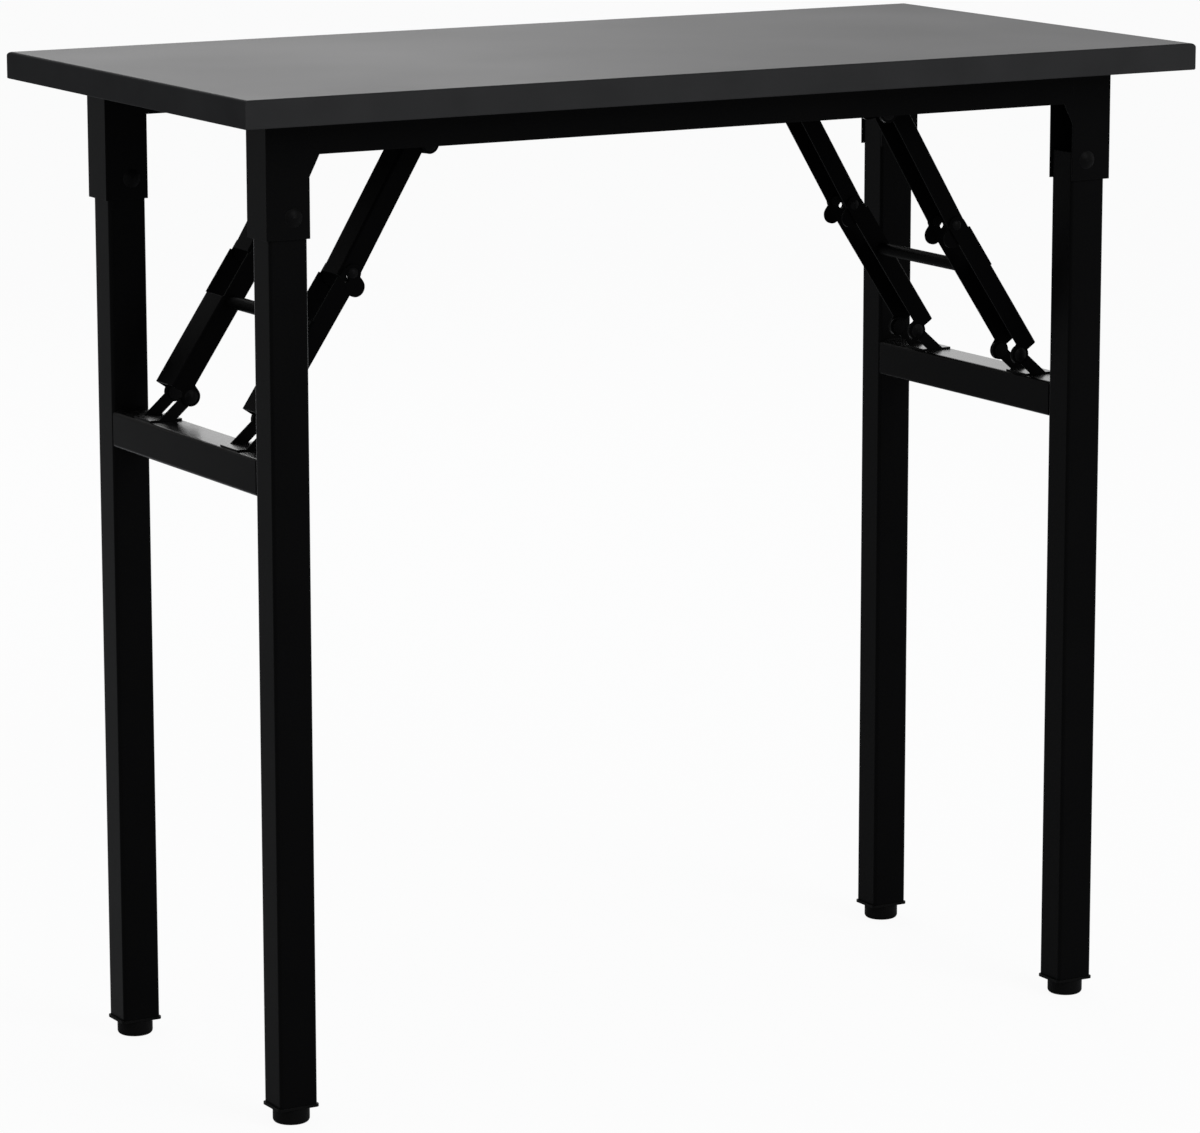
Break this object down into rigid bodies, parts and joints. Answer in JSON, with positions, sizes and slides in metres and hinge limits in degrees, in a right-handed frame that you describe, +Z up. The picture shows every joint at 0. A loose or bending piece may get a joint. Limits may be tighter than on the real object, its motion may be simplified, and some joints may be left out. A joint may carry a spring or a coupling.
{
  "type": "folding desk",
  "caption": "Folding desk: a dark laminate board on two hinged black steel leg frames, each held open by two folding braces.",
  "frame": {"origin": "centre of the footprint, on the floor under the desk", "axes": "+X along the desk, -Y towards the front edge seen in the picture, +Z up"},
  "size_m": [0.8, 0.4, 0.75],
  "materials": {
    "board_laminate": "matt dark laminate on particle board",
    "board_edge": "satin dark edge band",
    "frame_steel": "black powder coat, semi-gloss",
    "rivet_steel": "blackened steel",
    "screw_steel": "black zinc",
    "insert_plastic": "matt black nylon",
    "foot_plastic": "matt black nylon"
  },
  "bodies": {
    "top": {"table_board": "board_laminate", "edge_band": "board_edge", "front_rail": "frame_steel", "rear_rail": "frame_steel", "board_screws": "screw_steel", "leg_pivot_rivets": "rivet_steel", "upper_pivot_rivets": "rivet_steel", "leg_bracket_front_left": "frame_steel", "leg_bracket_rear_left": "frame_steel", "leg_bracket_front_right": "frame_steel", "leg_bracket_rear_right": "frame_steel", "upper_bracket_front_left": "frame_steel", "upper_bracket_rear_left": "frame_steel", "upper_bracket_front_right": "frame_steel", "upper_bracket_rear_right": "frame_steel"},
    "left_frame": {"leg_front_left": "frame_steel", "leg_rear_left": "frame_steel", "crossbar_left": "frame_steel", "lower_bracket_front_left": "frame_steel", "lower_bracket_rear_left": "frame_steel", "foot_insert_front_left": "insert_plastic", "foot_insert_rear_left": "insert_plastic"},
    "left_lower_brace": {"lower_link_front_left": "frame_steel", "lower_link_rear_left": "frame_steel", "tie_rod_left": "frame_steel", "lower_pivot_rivets_left": "rivet_steel", "mid_rivets_outer_left": "rivet_steel"},
    "front_left_upper_link": {"upper_link_front_left": "frame_steel", "mid_rivets_front_left": "rivet_steel"},
    "front_left_foot": {"foot_front_left": "foot_plastic"},
    "rear_left_upper_link": {"upper_link_rear_left": "frame_steel", "mid_rivets_rear_left": "rivet_steel"},
    "rear_left_foot": {"foot_rear_left": "foot_plastic"},
    "right_frame": {"leg_front_right": "frame_steel", "leg_rear_right": "frame_steel", "crossbar_right": "frame_steel", "lower_bracket_front_right": "frame_steel", "lower_bracket_rear_right": "frame_steel", "foot_insert_front_right": "insert_plastic", "foot_insert_rear_right": "insert_plastic"},
    "right_lower_brace": {"lower_link_front_right": "frame_steel", "lower_link_rear_right": "frame_steel", "tie_rod_right": "frame_steel", "lower_pivot_rivets_right": "rivet_steel", "mid_rivets_outer_right": "rivet_steel"},
    "front_right_upper_link": {"upper_link_front_right": "frame_steel", "mid_rivets_front_right": "rivet_steel"},
    "front_right_foot": {"foot_front_right": "foot_plastic"},
    "rear_right_upper_link": {"upper_link_rear_right": "frame_steel", "mid_rivets_rear_right": "rivet_steel"},
    "rear_right_foot": {"foot_rear_right": "foot_plastic"}
  },
  "joints": [
    {"name": "left_frame_fold", "type": "hinge", "parent": "top", "child": "left_frame", "pos_m": [-0.338, 0, 0.66], "axis": [0, -1, 0], "range_deg": [0, 93]},
    {"name": "left_lower_brace_fold", "type": "hinge", "parent": "left_frame", "child": "left_lower_brace", "pos_m": [-0.3211, 0, 0.5032], "axis": [0, -1, 0], "range_deg": [0, 34.73]},
    {"name": "front_left_upper_link_fold", "type": "hinge", "parent": "top", "child": "front_left_upper_link", "pos_m": [-0.19701, -0.0722, 0.6978], "axis": [0, 1, 0], "range_deg": [0, 39.47]},
    {"name": "front_left_foot_screw", "type": "slide", "parent": "left_frame", "child": "front_left_foot", "axis": [0, 0, -1], "range_m": [0, 0.01]},
    {"name": "rear_left_upper_link_fold", "type": "hinge", "parent": "top", "child": "rear_left_upper_link", "pos_m": [-0.19701, 0.0722, 0.6978], "axis": [0, 1, 0], "range_deg": [0, 39.47]},
    {"name": "rear_left_foot_screw", "type": "slide", "parent": "left_frame", "child": "rear_left_foot", "axis": [0, 0, -1], "range_m": [0, 0.01]},
    {"name": "right_frame_fold", "type": "hinge", "parent": "top", "child": "right_frame", "pos_m": [0.338, 0, 0.66], "axis": [0, 1, 0], "range_deg": [0, 87]},
    {"name": "right_lower_brace_fold", "type": "hinge", "parent": "right_frame", "child": "right_lower_brace", "pos_m": [0.3211, 0, 0.5032], "axis": [0, 1, 0], "range_deg": [0, 34.13]},
    {"name": "front_right_upper_link_fold", "type": "hinge", "parent": "top", "child": "front_right_upper_link", "pos_m": [0.19701, -0.0722, 0.6978], "axis": [0, -1, 0], "range_deg": [0, 38.12]},
    {"name": "front_right_foot_screw", "type": "slide", "parent": "right_frame", "child": "front_right_foot", "axis": [0, 0, -1], "range_m": [0, 0.01]},
    {"name": "rear_right_upper_link_fold", "type": "hinge", "parent": "top", "child": "rear_right_upper_link", "pos_m": [0.19701, 0.0722, 0.6978], "axis": [0, -1, 0], "range_deg": [0, 38.12]},
    {"name": "rear_right_foot_screw", "type": "slide", "parent": "right_frame", "child": "rear_right_foot", "axis": [0, 0, -1], "range_m": [0, 0.01]}
  ],
  "couplings": [
    {"joint": "left_lower_brace_fold", "follows": "left_frame_fold", "ratio": 0.37288},
    {"joint": "front_left_upper_link_fold", "follows": "left_frame_fold", "ratio": 0.42389},
    {"joint": "rear_left_upper_link_fold", "follows": "left_frame_fold", "ratio": 0.42389},
    {"joint": "right_lower_brace_fold", "follows": "right_frame_fold", "ratio": 0.39176},
    {"joint": "front_right_upper_link_fold", "follows": "right_frame_fold", "ratio": 0.43763},
    {"joint": "rear_right_upper_link_fold", "follows": "right_frame_fold", "ratio": 0.43763}
  ]
}
